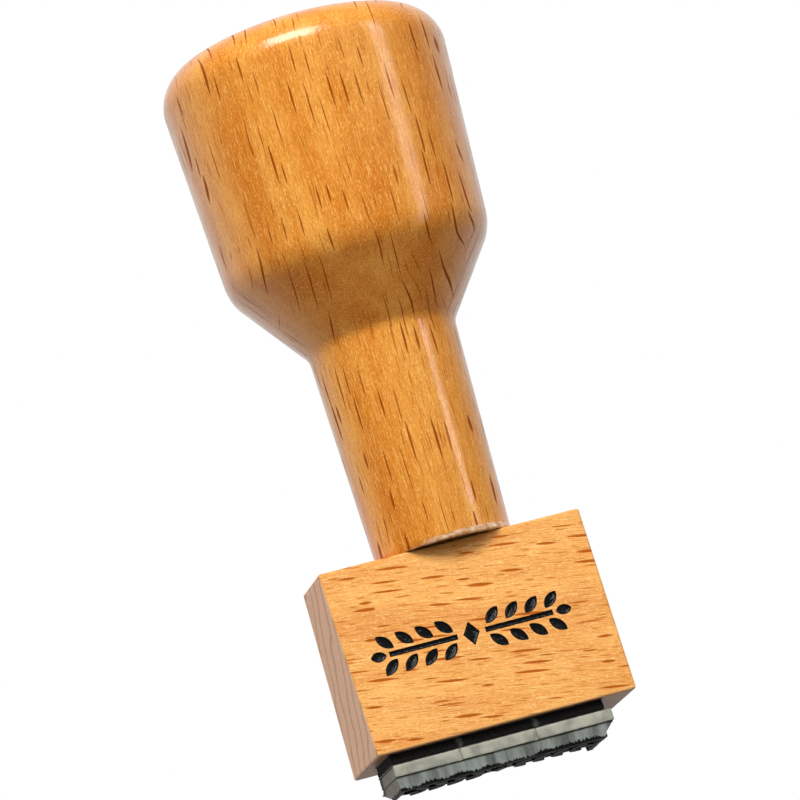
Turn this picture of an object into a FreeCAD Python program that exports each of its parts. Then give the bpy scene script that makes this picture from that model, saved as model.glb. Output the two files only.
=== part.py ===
import FreeCAD, Part
import math
import os
import Sketcher

# A hand stamp: a turned beech handle on a beech block, with a foam cushion and a
# rubber die below it. Millimetres. The origin is on the handle's axis, in the plane
# of the printing face; +Z runs up the handle, and the marked side of the block
# faces -Y.

FULL_TURN = 360.0
X_AXIS = FreeCAD.Vector(1, 0, 0)

# Driving dimensions, one spreadsheet cell each.
SIZES = [
    # rubber die, from the printing face up
    ("relief_rise", 0.6),
    ("shoulder_rise", 1.05),
    ("base_rise", 1.3),
    ("base_length", 25.4),
    ("base_depth", 9.1),
    ("base_centre_x", -1.45),
    ("base_centre_y", -2.95),
    ("relief_length", 24.0),
    ("relief_depth", 8.5),
    ("relief_centre_x", -1.95),
    ("relief_centre_y", -2.95),
    ("shoulder_spread", 0.15),
    ("shoulder_run_out", 0.95),
    ("rule_width", 0.6),
    # adhesive films and foam cushion
    ("film_rise", 0.1),
    ("cushion_rise", 1.15),
    ("cushion_length", 24.9),
    ("cushion_depth", 8.8),
    ("cushion_centre_x", -1.8),
    # block
    ("block_rise", 21.5),
    ("block_centre_x", -0.5),
    ("block_length_low", 30.1),
    ("block_length_top", 30.6),
    ("block_depth_low", 16.2),
    ("block_depth_top", 11.1),
    ("block_round", 0.3),
    # ornament, engraved in the block and raised on the die
    ("groove_depth", 0.45),
    ("mark_centre_x", -1.3),
    ("mark_length", 23.4),
    ("mark_rise", 4.6),
    ("mark_drop", 10.8),
    # handle, heights counted from the top of the block
    ("foot_radius", 7.82),
    ("foot_chamfer", 0.3),
    ("neck_radius", 8.55),
    ("neck_rise", 25.0),
    ("neck_round", 2.1),
    ("ridge_radius", 15.34),
    ("ridge_rise", 34.2),
    ("ridge_round", 5.8),
    ("knob_radius", 16.75),
    ("handle_rise", 63.0),
    ("crown_radius", 42.0),
    ("knob_round", 4.6),
    # dowel screw between handle and block
    ("screw_length", 30.0),
    ("screw_radius", 2.0),
    ("core_radius", 1.45),
    ("screw_pitch", 1.5),
    ("screw_point", 3.0),
    ("hole_clearance", 0.03),
    ("hole_spare", 1.5),
]

# Proportions of the ornament: pitch of the leaves to its length, and the widths of
# its stem and leaves to its height.
LEAF_PAIRS = 4
PITCH_SHARE = 0.098
STEM_SHARE = 0.14
LEAF_SHARE = 0.26

# Number of rings on the screw's shank, and the slope of a drill's point.
THREAD_RINGS = 16
DRILL_POINT_SLOPE = 0.6

SHEET_NAME = "Sizes"


class Amount:
    """A length worked out from the sheet: its number, and the expression for it."""

    def __init__(self, number, text):
        self.number = number
        self.text = text

    def __add__(self, other):
        return combine(self, "+", other)

    def __sub__(self, other):
        return combine(self, "-", other)

    def __mul__(self, other):
        return combine(self, "*", other)

    def __truediv__(self, other):
        return combine(self, "/", other)

    def __neg__(self):
        return combine(0.0, "-", self)


def as_amount(value):
    if isinstance(value, Amount):
        return value
    return Amount(float(value), f"({float(value)})")


def combine(left, sign, right):
    left = as_amount(left)
    right = as_amount(right)
    number = {
        "+": lambda a, b: a + b,
        "-": lambda a, b: a - b,
        "*": lambda a, b: a * b,
        "/": lambda a, b: a / b,
    }[sign](left.number, right.number)
    return Amount(number, f"({left.text} {sign} {right.text})")


ZERO = as_amount(0)


def root(amount):
    return Amount(math.sqrt(amount.number), f"sqrt({amount.text})")


def hypotenuse(run, rise):
    return root(run * run + rise * rise)


def fill_sheet(document):
    """Write every driving dimension to its own aliased cell."""
    sheet = document.addObject("Spreadsheet::Sheet", SHEET_NAME)
    amounts = {}
    for row, (name, number) in enumerate(SIZES, start=1):
        sheet.set(f"A{row}", name)
        sheet.set(f"B{row}", str(number))
        sheet.setAlias(f"B{row}", name)
        amounts[name] = Amount(number, f"{SHEET_NAME}.{name}")
    document.recompute()
    return amounts


def levels(size):
    """Heights of the faces between the stacked pieces."""
    z = {"die_base": size["relief_rise"] + size["shoulder_rise"]}
    z["die_top"] = z["die_base"] + size["base_rise"]
    z["cushion"] = z["die_top"] + size["film_rise"]
    z["cushion_top"] = z["cushion"] + size["cushion_rise"]
    z["block"] = z["cushion_top"] + size["film_rise"]
    z["block_top"] = z["block"] + size["block_rise"]
    return z


def new_body(document, label):
    body = document.addObject("PartDesign::Body", label)
    body.Label = label
    body.AllowCompound = True
    return body


def new_sketch(body, name, role, height=None):
    """A sketch on one of the body's own origin planes, raised by height."""
    sketch = body.newObject("Sketcher::SketchObject", name)
    support = next(f for f in body.Origin.OriginFeatures if f.Role == role)
    sketch.AttachmentSupport = (support, [""])
    sketch.MapMode = "FlatFace"
    if height is not None:
        sketch.AttachmentOffset = FreeCAD.Placement(
            FreeCAD.Vector(0, 0, height.number), FreeCAD.Rotation()
        )
        sketch.setExpression("AttachmentOffset.Base.z", height.text)
    return sketch


def pin_point(sketch, side, point):
    """Tie the start of a side to the sketch's origin by two bound distances."""
    for kind, amount in zip(("DistanceX", "DistanceY"), point):
        amount = as_amount(amount)
        axis = -2 if kind == "DistanceX" else -1
        if amount.number == 0.0:
            sketch.addConstraint(Sketcher.Constraint("PointOnObject", side, 1, axis))
            continue
        index = sketch.addConstraint(
            Sketcher.Constraint(kind, -1, 1, side, 1, amount.number)
        )
        sketch.setExpression(f"Constraints[{index}]", amount.text)


def side_curve(start, end, radius):
    """A straight side, or an arc of that radius that bulges to the right."""
    if radius is None:
        return Part.LineSegment(start, end)
    chord = end - start
    half = chord.Length / 2
    left = FreeCAD.Vector(-chord.y, chord.x, 0).normalize()
    centre = (start + end) / 2 + left * math.sqrt(max(radius.number**2 - half**2, 0))
    circle = Part.Circle(centre, FreeCAD.Vector(0, 0, 1), radius.number)
    return Part.ArcOfCircle(circle, circle.parameter(start), circle.parameter(end))


def outline(sketch, points, arcs=None):
    """Draw a closed outline, anticlockwise; arcs gives the radius of a round side."""
    arcs = arcs or {}
    first = sketch.GeometryCount
    places = [FreeCAD.Vector(as_amount(x).number, as_amount(y).number, 0) for x, y in points]
    total = len(points)
    for side in range(total):
        curve = side_curve(places[side], places[(side + 1) % total], arcs.get(side))
        sketch.addGeometry(curve, False)
    for side in range(total):
        following = first + (side + 1) % total
        sketch.addConstraint(Sketcher.Constraint("Coincident", first + side, 2, following, 1))
        pin_point(sketch, first + side, points[side])
    for side, radius in arcs.items():
        index = sketch.addConstraint(
            Sketcher.Constraint("Radius", first + side, radius.number)
        )
        sketch.setExpression(f"Constraints[{index}]", radius.text)


def rectangle(sketch, left, right, front, back):
    outline(sketch, [(left, front), (right, front), (right, back), (left, back)])


def centred_rectangle(sketch, centre_x, centre_y, length, depth):
    rectangle(
        sketch,
        centre_x - length / 2,
        centre_x + length / 2,
        centre_y - depth / 2,
        centre_y + depth / 2,
    )


def add_pad(body, name, sketch, length, reversed_pad=False):
    pad = body.newObject("PartDesign::Pad", name)
    pad.Profile = sketch
    pad.setExpression("Length", length.text)
    pad.Reversed = reversed_pad
    body.Document.recompute()
    return pad


def add_loft(body, name, lower, upper):
    loft = body.newObject("PartDesign::AdditiveLoft", name)
    loft.Profile = lower
    loft.Sections = [upper]
    loft.Ruled = True
    body.Document.recompute()
    return loft


def turn(body, kind, name, sketch):
    """Revolve a sketch, as a solid or as a cut, about its own vertical axis."""
    feature = body.newObject(kind, name)
    feature.Profile = sketch
    feature.ReferenceAxis = (sketch, ["V_Axis"])
    feature.Angle = FULL_TURN
    body.Document.recompute()
    return feature


def dress(body, kind, name, edges, property_name, amount):
    """Fillet or chamfer the named edges of the body's last feature."""
    base = body.Tip
    feature = body.newObject(kind, name)
    feature.Base = (base, edges)
    feature.setExpression(property_name, amount.text)
    body.Document.recompute()
    return feature


def must_shrink(body, before, what):
    """Stop if a cut took nothing off the body."""
    if body.Shape.Volume >= before - 1e-6:
        raise RuntimeError(f"{what} cut nothing")


def ring_edge(body, height, radius):
    """Name of the circular edge nearest to that height and radius."""
    best = None
    for number, edge in enumerate(body.Shape.Edges, start=1):
        if edge.Degenerated or not isinstance(edge.Curve, Part.Circle):
            continue
        gap = abs(edge.Curve.Center.z - height) + abs(edge.Curve.Radius - radius)
        if best is None or gap < best[0]:
            best = (gap, f"Edge{number}")
    return best[1]


def drill(body, name, size, mouth, direction):
    """Drill the screw's hole on the Z axis, up or down from its mouth."""
    before = body.Shape.Volume
    radius = size["screw_radius"] + size["hole_clearance"]
    depth = (size["screw_length"] / 2 + size["hole_spare"]) * direction
    sketch = new_sketch(body, f"{name}_outline", "XZ_Plane")
    outline(
        sketch,
        [
            (0, mouth),
            (radius, mouth),
            (radius, mouth + depth),
            (0, mouth + depth + radius * (DRILL_POINT_SLOPE * direction)),
        ],
    )
    turn(body, "PartDesign::Groove", name, sketch)
    must_shrink(body, before, name)


def draw_ornament(sketch, centre_x, centre_y, length, rise):
    """A sprig: a centre lozenge, and on each side a stem, paired leaves and a bud."""
    half = length / 2
    reach = rise / 2
    stem_width = rise * STEM_SHARE
    leaf_width = rise * LEAF_SHARE
    pitch = length * PITCH_SHARE
    lozenge_run = reach * 0.42
    lozenge_rise = reach * 0.62
    stem_half = stem_width / 2
    stem_start = lozenge_run + stem_width
    bud_length = pitch * 0.8
    stem_end = half - bud_length - stem_half
    leaf_run = pitch * 0.76
    leaf_rise = reach - stem_width

    outline(
        sketch,
        [
            (centre_x - lozenge_run, centre_y),
            (centre_x, centre_y - lozenge_rise),
            (centre_x + lozenge_run, centre_y),
            (centre_x, centre_y + lozenge_rise),
        ],
    )
    for hand in (-1, 1):
        near = centre_x + stem_start * hand
        far = centre_x + stem_end * hand
        rectangle(sketch, near, far, centre_y - stem_half, centre_y + stem_half)
        bud_foot = (far + stem_half * hand, centre_y)
        bud_tip = (centre_x + half * hand, centre_y)
        draw_leaf(sketch, bud_foot, bud_tip, bud_length, leaf_width)
        for pair in range(LEAF_PAIRS):
            foot_x = near + (pitch * pair + stem_half) * hand
            tip_x = foot_x + leaf_run * hand
            for side in (-1, 1):
                foot = (foot_x, centre_y + stem_width * side)
                tip = (tip_x, centre_y + reach * side)
                draw_leaf(sketch, foot, tip, hypotenuse(leaf_run, leaf_rise), leaf_width)


def draw_leaf(sketch, foot, tip, length, width):
    """A pointed leaf of two equal arcs from foot to tip."""
    sagitta = width / 2
    radius = (length * length / 4 + sagitta * sagitta) / (sagitta * 2)
    outline(sketch, [foot, tip], {0: radius, 1: radius})


def make_rubber_die(document, size, z):
    """Rubber plate with sloped shoulders, a three-sided rule and the ornament."""
    body = new_body(document, "rubber_die")
    plate = new_sketch(body, "die_plate_outline", "XY_Plane", z["die_base"])
    centred_rectangle(
        plate,
        size["base_centre_x"],
        size["base_centre_y"],
        size["base_length"],
        size["base_depth"],
    )
    add_pad(body, "die_plate", plate, size["base_rise"])

    left = size["relief_centre_x"] - size["relief_length"] / 2
    right = size["relief_centre_x"] + size["relief_length"] / 2
    front = size["relief_centre_y"] - size["relief_depth"] / 2
    back = size["relief_centre_y"] + size["relief_depth"] / 2
    spread = size["shoulder_spread"]
    wide = new_sketch(body, "shoulder_wide", "XY_Plane", z["die_base"])
    run_out = right + size["shoulder_run_out"] + spread
    rectangle(wide, left - spread, run_out, front - spread / 2, back + spread)
    narrow = new_sketch(body, "shoulder_narrow", "XY_Plane", size["relief_rise"])
    rectangle(narrow, left, right, front, back)
    add_loft(body, "shoulder", wide, narrow)

    relief = new_sketch(body, "relief_outline", "XY_Plane")
    rule = size["rule_width"]
    outline(
        relief,
        [
            (left, front),
            (right, front),
            (right, back),
            (right - rule, back),
            (right - rule, front + rule),
            (left + rule, front + rule),
            (left + rule, back),
            (left, back),
        ],
    )
    ornament_length = size["relief_length"] - rule * 3
    ornament_rise = ornament_length * size["mark_rise"] / size["mark_length"]
    ornament_y = front + rule * 2 + ornament_rise / 2
    draw_ornament(relief, size["relief_centre_x"], ornament_y, ornament_length, ornament_rise)
    add_pad(body, "relief", relief, size["relief_rise"])
    return body


def make_layer(document, label, size, bottom, rise):
    """One flat layer of the cushion stack, under the block."""
    box = document.addObject("Part::Box", label)
    box.Label = label
    box.setExpression("Length", size["cushion_length"].text)
    box.setExpression("Width", size["cushion_depth"].text)
    box.setExpression("Height", rise.text)
    left = size["cushion_centre_x"] - size["cushion_length"] / 2
    front = size["base_centre_y"] - size["cushion_depth"] / 2
    box.setExpression("Placement.Base.x", left.text)
    box.setExpression("Placement.Base.y", front.text)
    box.setExpression("Placement.Base.z", bottom.text)
    return box


def place_on_slope(sketch, size, z):
    """Lay a front-plane sketch on the block's leaning front face."""
    lean_run = (size["block_depth_low"] - size["block_depth_top"]) / 2
    share = size["mark_drop"] / size["block_rise"]
    out = size["block_depth_top"] / 2 + lean_run * share
    up = z["block_top"] - size["mark_drop"]
    lean = math.atan2(lean_run.number, size["block_rise"].number)
    sketch.AttachmentOffset = FreeCAD.Placement(
        FreeCAD.Vector(0, up.number, out.number),
        FreeCAD.Rotation(X_AXIS, -math.degrees(lean)),
    )
    sketch.setExpression("AttachmentOffset.Base.y", up.text)
    sketch.setExpression("AttachmentOffset.Base.z", out.text)
    angle = f"-atan({(lean_run / size['block_rise']).text})"
    sketch.setExpression("AttachmentOffset.Rotation.Angle", angle)


def make_block(document, size, z):
    """Beech block, deeper at its foot, with the engraved ornament and screw hole."""
    body = new_body(document, "block")
    centre = size["block_centre_x"]
    low_half = size["block_length_low"] / 2
    top_half = size["block_length_top"] / 2
    front_view = new_sketch(body, "sawn_ends", "XZ_Plane")
    outline(
        front_view,
        [
            (centre - low_half, z["block"]),
            (centre + low_half, z["block"]),
            (centre + top_half, z["block_top"]),
            (centre - top_half, z["block_top"]),
        ],
    )
    blank = add_pad(body, "block_blank", front_view, size["block_depth_low"])
    blank.SideType = "Symmetric"
    document.recompute()

    before = body.Shape.Volume
    side_view = new_sketch(body, "planed_sides", "YZ_Plane")
    low_edge = size["block_depth_low"] / 2
    top_edge = size["block_depth_top"] / 2
    for side in (-1, 1):
        outline(
            side_view,
            [
                (low_edge * side, z["block"]),
                (top_edge * side, z["block_top"]),
                (low_edge * side, z["block_top"]),
            ],
        )
    planed = body.newObject("PartDesign::Pocket", "planed")
    planed.Profile = side_view
    planed.Type = "ThroughAll"
    planed.SideType = "Symmetric"
    document.recompute()
    must_shrink(body, before, "planed")

    edges = [f"Edge{number}" for number in range(1, len(planed.Shape.Edges) + 1)]
    dress(body, "PartDesign::Fillet", "eased_edges", edges, "Radius", size["block_round"])
    drill(body, "block_screw_hole", size, z["block_top"], -1)

    before = body.Shape.Volume
    mark = new_sketch(body, "mark_outline", "XZ_Plane")
    place_on_slope(mark, size, z)
    draw_ornament(mark, size["mark_centre_x"], ZERO, size["mark_length"], size["mark_rise"])
    groove = body.newObject("PartDesign::Pocket", "mark_groove")
    groove.Profile = mark
    groove.setExpression("Length", size["groove_depth"].text)
    document.recompute()
    must_shrink(body, before, "mark_groove")
    return body


def make_mark_infill(document, size, z):
    """The paint that fills the engraved ornament, flush with the block's face."""
    body = new_body(document, "mark_infill")
    sketch = new_sketch(body, "infill_outline", "XZ_Plane")
    place_on_slope(sketch, size, z)
    draw_ornament(sketch, size["mark_centre_x"], ZERO, size["mark_length"], size["mark_rise"])
    add_pad(body, "infill", sketch, size["groove_depth"], reversed_pad=True)
    return body


def make_handle(document, size, z):
    """Turned handle: stem, cone and domed knob, drilled for the screw."""
    body = new_body(document, "handle")
    foot = z["block_top"]
    apex = foot + size["handle_rise"]
    crown = size["crown_radius"]
    knob = size["knob_radius"]
    knob_rise = apex - crown + root(crown * crown - knob * knob)
    profile = new_sketch(body, "handle_profile", "XZ_Plane")
    outline(
        profile,
        [
            (ZERO, foot),
            (size["foot_radius"], foot),
            (size["neck_radius"], foot + size["neck_rise"]),
            (size["ridge_radius"], foot + size["ridge_rise"]),
            (knob, knob_rise),
            (ZERO, apex),
        ],
        {4: crown},
    )
    turn(body, "PartDesign::Revolution", "turned_blank", profile)
    rounds = [
        ("neck", foot + size["neck_rise"], size["neck_radius"]),
        ("ridge", foot + size["ridge_rise"], size["ridge_radius"]),
        ("knob", knob_rise, knob),
    ]
    for name, height, radius in rounds:
        edge = ring_edge(body, height.number, radius.number)
        amount = size[f"{name}_round"]
        dress(body, "PartDesign::Fillet", f"{name}_fillet", [edge], "Radius", amount)
    edge = ring_edge(body, foot.number, size["foot_radius"].number)
    dress(body, "PartDesign::Chamfer", "foot_edge", [edge], "Size", size["foot_chamfer"])
    drill(body, "handle_screw_hole", size, foot, 1)
    return body


def make_screw(document, size, z):
    """Steel dowel screw, pointed at both ends; its thread is a row of rings."""
    body = new_body(document, "handle_screw")
    bottom = z["block_top"] - size["screw_length"] / 2
    shank = bottom + size["screw_point"]
    points = [(ZERO, bottom), (size["core_radius"], shank)]
    for ring in range(THREAD_RINGS):
        crest = shank + size["screw_pitch"] * (ring + 0.5)
        points.append((size["screw_radius"], crest))
        points.append((size["core_radius"], shank + size["screw_pitch"] * (ring + 1)))
    points.append((ZERO, bottom + size["screw_length"]))
    profile = new_sketch(body, "screw_profile", "XZ_Plane")
    outline(profile, points)
    turn(body, "PartDesign::Revolution", "screw_turned", profile)
    return body


def check(document, parts):
    """Stop if any object failed, or any sub-part has no valid solid."""
    for item in document.Objects:
        if "Invalid" in item.State or "Error" in item.State:
            raise RuntimeError(f"{item.Name} failed: {item.State}")
    for part in parts:
        if part.Shape.isNull() or not part.Shape.isValid():
            raise RuntimeError(f"{part.Label} has no valid shape")


def main():
    document = FreeCAD.newDocument("rubber_stamp")
    size = fill_sheet(document)
    z = levels(size)
    parts = [
        make_rubber_die(document, size, z),
        make_layer(document, "cushion_adhesive", size, z["die_top"], size["film_rise"]),
        make_layer(document, "cushion", size, z["cushion"], size["cushion_rise"]),
        make_layer(document, "block_adhesive", size, z["cushion_top"], size["film_rise"]),
        make_block(document, size, z),
        make_mark_infill(document, size, z),
        make_screw(document, size, z),
        make_handle(document, size, z),
    ]
    document.recompute()
    check(document, parts)
    os.makedirs("parts", exist_ok=True)
    for part in parts:
        part.Shape.exportStep(f"parts/{part.Label}.step")
        print(part.Label, round(part.Shape.Volume, 1), "mm3", len(part.Shape.Solids))


main()
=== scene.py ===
import math

import bpy
import bmesh
from mathutils import Matrix, Vector, noise


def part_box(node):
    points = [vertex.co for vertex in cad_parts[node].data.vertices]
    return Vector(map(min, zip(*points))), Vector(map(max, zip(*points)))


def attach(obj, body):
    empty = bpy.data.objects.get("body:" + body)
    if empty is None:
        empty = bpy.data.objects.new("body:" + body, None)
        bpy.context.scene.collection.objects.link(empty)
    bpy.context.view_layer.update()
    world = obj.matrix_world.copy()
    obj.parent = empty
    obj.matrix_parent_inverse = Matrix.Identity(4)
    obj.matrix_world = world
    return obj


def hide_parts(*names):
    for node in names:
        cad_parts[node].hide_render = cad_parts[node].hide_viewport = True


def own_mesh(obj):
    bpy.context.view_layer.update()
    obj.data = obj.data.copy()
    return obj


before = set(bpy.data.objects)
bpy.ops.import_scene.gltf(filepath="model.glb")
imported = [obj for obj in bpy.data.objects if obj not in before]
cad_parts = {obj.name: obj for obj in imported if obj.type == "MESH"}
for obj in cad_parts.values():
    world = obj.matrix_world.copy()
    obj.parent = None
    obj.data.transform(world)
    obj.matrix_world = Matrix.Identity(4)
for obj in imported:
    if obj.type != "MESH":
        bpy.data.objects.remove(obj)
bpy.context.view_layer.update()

MM = 0.001


# ---------------------------------------------------------------- shaders

def srgb(red, green, blue):
    """A display colour, 0 to 255, as linear RGBA."""
    def linear(value):
        value /= 255
        return value / 12.92 if value <= 0.04045 else ((value + 0.055) / 1.055) ** 2.4
    return (linear(red), linear(green), linear(blue), 1.0)


class Shader:
    """One procedural material, built node by node."""

    def __init__(self, name):
        self.material = bpy.data.materials.new(name)
        self.material.use_nodes = True
        self.tree = self.material.node_tree
        self.tree.nodes.clear()
        self.place = self.add("TexCoord")

    def add(self, kind, settings=None, inputs=None):
        node = self.tree.nodes.new("ShaderNode" + kind)
        for key, value in (settings or {}).items():
            setattr(node, key, value)
        for key, value in (inputs or {}).items():
            self.feed(node.inputs[key], value)
        return node

    def feed(self, socket, value):
        if isinstance(value, bpy.types.NodeSocket):
            self.tree.links.new(value, socket)
        else:
            socket.default_value = value

    def math(self, operation, first, second=0.0, third=0.0):
        node = self.add("Math", {"operation": operation}, {0: first, 1: second, 2: third})
        return node.outputs[0]

    def dot(self, first, second):
        node = self.add("VectorMath", {"operation": "DOT_PRODUCT"}, {0: first, 1: second})
        return node.outputs["Value"]

    def stretch(self, vector, sizes):
        factors = tuple(1 / size for size in sizes)
        node = self.add("VectorMath", {"operation": "MULTIPLY"}, {0: vector, 1: factors})
        return node.outputs["Vector"]

    def join(self, x, y, z):
        return self.add("CombineXYZ", None, {0: x, 1: y, 2: z}).outputs[0]

    def split(self, vector):
        return self.add("SeparateXYZ", None, {0: vector}).outputs

    def noise(self, vector, sizes, detail=2.0, roughness=0.5):
        """Smooth noise, 0 to 1, whose lumps have these sizes."""
        inputs = {
            "Vector": self.stretch(vector, sizes),
            "Scale": 1.0,
            "Detail": detail,
            "Roughness": roughness,
        }
        return self.add("TexNoise", None, inputs).outputs["Fac"]

    def ease(self, value, low, high, start=0.0, end=1.0):
        """A smooth step from start to end as value goes from low to high."""
        inputs = {"Value": value, "From Min": low, "From Max": high, "To Min": start, "To Max": end}
        node = self.add("MapRange", {"interpolation_type": "SMOOTHSTEP", "clamp": True}, inputs)
        return node.outputs["Result"]

    def mix(self, share, first, second):
        node = self.add("Mix", {"data_type": "RGBA", "clamp_factor": True})
        self.feed(node.inputs["Factor"], share)
        self.feed([s for s in node.inputs if s.name == "A" and s.type == "RGBA"][0], first)
        self.feed([s for s in node.inputs if s.name == "B" and s.type == "RGBA"][0], second)
        return [s for s in node.outputs if s.type == "RGBA"][0]

    def bump(self, height, depth):
        return self.add("Bump", None, {"Height": height, "Distance": depth}).outputs["Normal"]

    def finish(self, inputs):
        """Close the material with a Principled shader that has these inputs."""
        shader = self.add("BsdfPrincipled", None, inputs)
        output = self.add("OutputMaterial")
        self.tree.links.new(shader.outputs[0], output.inputs["Surface"])
        return self.material


def grain_space(sh, across, rays, along):
    """Millimetres across the wood's rays, along its rays and along its grain."""
    place = sh.place.outputs["Object"]
    parts = [sh.dot(place, tuple(Vector(axis).normalized() / MM)) for axis in (across, rays, along)]
    plain = sh.join(*parts)
    drift = sh.noise(plain, (7.0, 5.0, 26.0), detail=1.0)
    offset = sh.math("MULTIPLY", sh.math("SUBTRACT", drift, 0.5), 1.5)
    return sh.join(sh.math("ADD", parts[0], offset), parts[1], parts[2])


def ray_flecks(sh, sideways, along, spacing, half_width, half_length, share, seed):
    """Pointed flecks where the medullary rays are cut: one in each cell of a stretched
    pattern."""
    cell = sh.join(
        sh.math("ADD", sh.math("DIVIDE", sideways, spacing[0]), seed),
        sh.math("DIVIDE", along, spacing[1]),
        0.0,
    )
    settings = {"voronoi_dimensions": "2D", "feature": "F1", "distance": "EUCLIDEAN"}
    cells = sh.add("TexVoronoi", settings, {"Vector": cell, "Scale": 1.0, "Randomness": 0.8})
    away = sh.add("VectorMath", {"operation": "SUBTRACT"}, {0: cell, 1: cells.outputs["Position"]})
    off_side, off_along, _ = sh.split(away.outputs[0])
    chance = sh.add("SeparateColor", None, {0: cells.outputs["Color"]}).outputs
    width = sh.math("MULTIPLY_ADD", chance[1], half_width * 0.9, half_width * 0.55)
    length = sh.math("MULTIPLY_ADD", chance[0], half_length * 0.9, half_length * 0.5)
    thin, long = (
        sh.math("DIVIDE", sh.math("MULTIPLY", sh.math("ABSOLUTE", off), step), size)
        for off, step, size in ((off_side, spacing[0], width), (off_along, spacing[1], length))
    )
    lens = sh.math("SUBTRACT", sh.math("SUBTRACT", 1.0, thin), sh.math("POWER", long, 2.0))
    shape = sh.ease(lens, 0.0, 0.5)
    present = sh.ease(chance[2], 1 - share - 0.02, 1 - share + 0.25)
    return sh.math("MULTIPLY", shape, present)


def surface_flecks(sh, axes, grain, sizes, seed):
    """Ray flecks on the faces that look along the rays and, with another pattern, on the
    faces beside them; none on the end grain."""
    across, rays, along = sh.split(grain)
    normal = sh.place.outputs["Normal"]
    facing, ending = (
        sh.math("ABSOLUTE", sh.dot(normal, tuple(Vector(axis).normalized()))) for axis in axes[1:]
    )
    front = sh.ease(facing, 0.24, 0.42)
    beside = ray_flecks(sh, rays, along, *sizes, seed + 5.3)
    beside = sh.math("MULTIPLY", beside, sh.math("SUBTRACT", 1.0, front))
    both = sh.math("MULTIPLY_ADD", ray_flecks(sh, across, along, *sizes, seed), front, beside)
    return sh.math("MULTIPLY", both, sh.ease(ending, 0.96, 0.86))


def wood(name, axes, colours, fleck, coat, shape_colour, scale=1.0):
    """Beech: soft bands, fine fibres, pale pores and dark ray flecks. shape_colour then
    paints what depends on the piece's shape; scale sizes the bands."""
    sh = Shader(name)
    grain = grain_space(sh, *axes)
    bands = sh.noise(grain, (5.0 * scale, 3.4 * scale, 46.0 * scale), detail=3.0, roughness=0.6)
    clouds = sh.noise(grain, (3.2, 3.2, 6.0), detail=3.0)
    fibres = sh.noise(grain, (0.14, 0.14, 2.2), detail=2.0, roughness=0.6)
    pores = sh.noise(grain, (0.11, 0.11, 0.34), detail=1.0)
    colour = sh.mix(sh.ease(bands, 0.32, 0.68), colours["deep"], colours["light"])
    colour = sh.mix(sh.ease(clouds, 0.35, 0.75, 0.0, 0.45), colour, colours["warm"])
    colour = sh.mix(sh.ease(fibres, 0.52, 0.74, 0.0, 0.50), colour, colours["pale"])
    colour = sh.mix(sh.ease(fibres, 0.48, 0.28, 0.0, 0.50), colour, colours["fibre"])
    colour = sh.mix(sh.ease(pores, 0.58, 0.74, 0.0, 0.65), colour, colours["pale"])
    colour = sh.mix(sh.ease(pores, 0.42, 0.28, 0.0, 0.50), colour, colours["fibre"])
    large = surface_flecks(sh, axes, grain, fleck["large"], 3.7)
    small = surface_flecks(sh, axes, grain, fleck["small"], 11.3)
    colour = sh.mix(sh.math("MULTIPLY", small, 0.55), colour, colours["fleck"])
    colour = sh.mix(sh.math("MULTIPLY", large, 0.92), colour, colours["fleck"])
    colour = shape_colour(sh, grain, colour)
    grooves = sh.math("SUBTRACT", fibres, sh.math("MULTIPLY", large, 0.5))
    ripples = sh.noise(grain, (0.9, 0.9, 1.6), detail=4.0, roughness=0.65)
    skin = sh.math("MULTIPLY", sh.math("ADD", grooves, pores), 0.12)
    open_grain = sh.math("MAXIMUM", large, sh.math("MULTIPLY", small, 0.6))
    inputs = {
        "Base Color": colour,
        "Roughness": sh.ease(fibres, 0.2, 0.8, coat["rough"] * 0.85, coat["rough"] * 1.15),
        "Normal": sh.bump(grooves, coat["depth"] * MM),
        "Coat Weight": sh.ease(open_grain, 0.0, 0.7, coat["weight"], coat["weight"] * 0.1),
        "Coat Roughness": sh.ease(ripples, 0.42, 0.62, coat["gloss"], coat["gloss"] * 2.4),
        "Coat Normal": sh.bump(sh.math("ADD", ripples, skin), coat["skin"] * MM),
        "Specular IOR Level": sh.ease(open_grain, 0.0, 0.7, coat["specular"], 0.05),
    }
    return sh.finish(inputs)


# ---------------------------------------------------------------- meshes

def add_piece(name, verts, faces, materials):
    """A smooth-shaded object from vertices in millimetres."""
    mesh = bpy.data.meshes.new(name)
    mesh.from_pydata([tuple(c * MM for c in v) for v in verts], [], faces)
    mesh.validate()
    return add_object(name, mesh, materials)


def add_object(name, mesh, materials, smooth=True):
    for material in materials:
        mesh.materials.append(material)
    obj = bpy.data.objects.new(name, mesh)
    bpy.context.scene.collection.objects.link(obj)
    fix = bmesh.new()
    fix.from_mesh(mesh)
    bmesh.ops.recalc_face_normals(fix, faces=fix.faces)
    fix.to_mesh(mesh)
    fix.free()
    for polygon in mesh.polygons:
        polygon.use_smooth = smooth
    return obj


def weld(mesh):
    """Join vertices that lie on each other, and drop the faces that this flattens."""
    fix = bmesh.new()
    fix.from_mesh(mesh)
    bmesh.ops.remove_doubles(fix, verts=fix.verts, dist=0.002 * MM)
    bmesh.ops.dissolve_degenerate(fix, edges=fix.edges, dist=0.002 * MM)
    fix.to_mesh(mesh)
    fix.free()


def bridge(rings, close_first=True, close_last=True, first=0):
    """Faces between rings of vertices with the same count, which follow one another."""
    count = len(rings[0])
    faces = []
    for low in range(len(rings) - 1):
        for i in range(count):
            j = (i + 1) % count
            a, b = first + low * count, first + (low + 1) * count
            faces.append((a + i, a + j, b + j, b + i))
    if close_first:
        faces.append(tuple(first + i for i in reversed(range(count))))
    if close_last:
        last = first + (len(rings) - 1) * count
        faces.append(tuple(last + i for i in range(count)))
    return faces


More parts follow.
